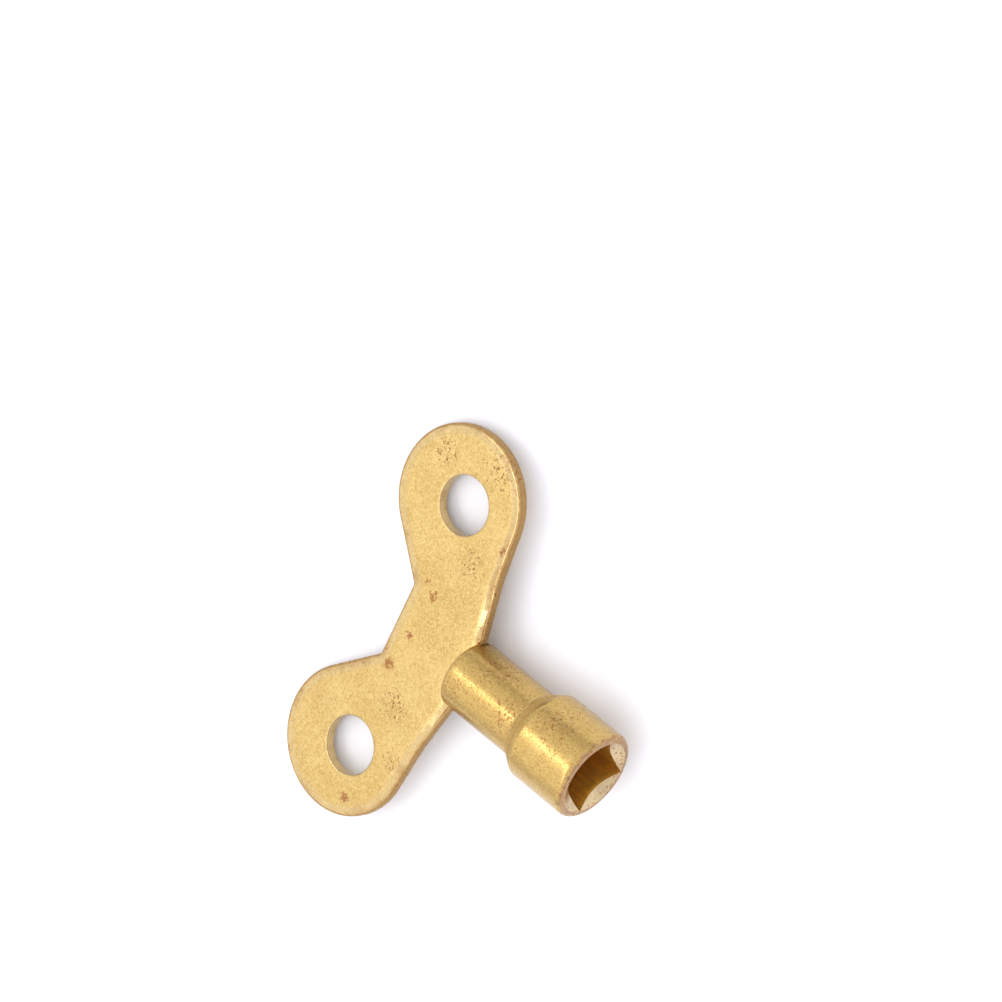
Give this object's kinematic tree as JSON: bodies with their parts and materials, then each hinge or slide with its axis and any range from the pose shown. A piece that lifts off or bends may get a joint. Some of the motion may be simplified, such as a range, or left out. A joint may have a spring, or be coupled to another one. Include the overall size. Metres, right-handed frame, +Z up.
{
  "type": "radiator bleed key",
  "caption": "Brass radiator bleed key: a flat wing plate with two round finger eyes, pressed into a turned stem with a square socket.",
  "frame": {"origin": "on the table under the middle of the key's bounding box, with the key lying on its back as it does on a table", "axes": "+X along the line of the two eyes, +Z up from the table, and the stem's mouth points along -Y, tipped up by 10.5 degrees, because the key lies on the domed end of its stem and on the backs of its two lobes"},
  "size_m": [0.043, 0.0344, 0.0112],
  "materials": {
    "plate_brass": "tumbled satin, lightly tarnished",
    "stem_brass": "turned and tumbled satin, tarnished in spots"
  },
  "bodies": {
    "root": {"wing_plate": "plate_brass", "socket_stem": "stem_brass"}
  },
  "joints": []
}
